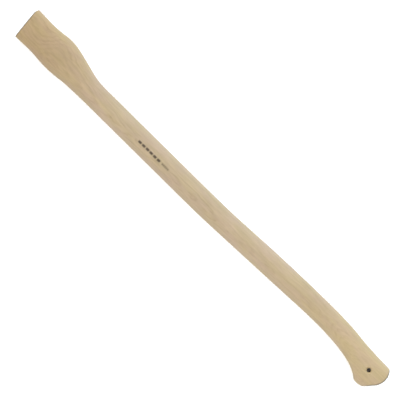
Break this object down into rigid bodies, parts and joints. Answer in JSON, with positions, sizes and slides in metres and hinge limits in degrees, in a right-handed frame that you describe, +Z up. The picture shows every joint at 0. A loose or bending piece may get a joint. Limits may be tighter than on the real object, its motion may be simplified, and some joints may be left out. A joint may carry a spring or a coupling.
{
  "type": "splitting maul handle",
  "caption": "Curved wooden haft for a splitting maul: shouldered eye tongue with a saw kerf, straight shaft, bent grip and hooked knob with a hanging hole.",
  "frame": {"origin": "bottom centre of the haft's box, with the haft lying on one of its two broad sides", "axes": "+X runs from the knob to the eye end, +Y to the front (the cutting edge's and the toe's side), +Z up, square to the broad sides and along the hanging hole"},
  "size_m": [0.8, 0.0678, 0.03],
  "materials": {
    "wood": "sanded bare ash, satin"
  },
  "bodies": {
    "root": {"haft": "wood"}
  },
  "joints": []
}
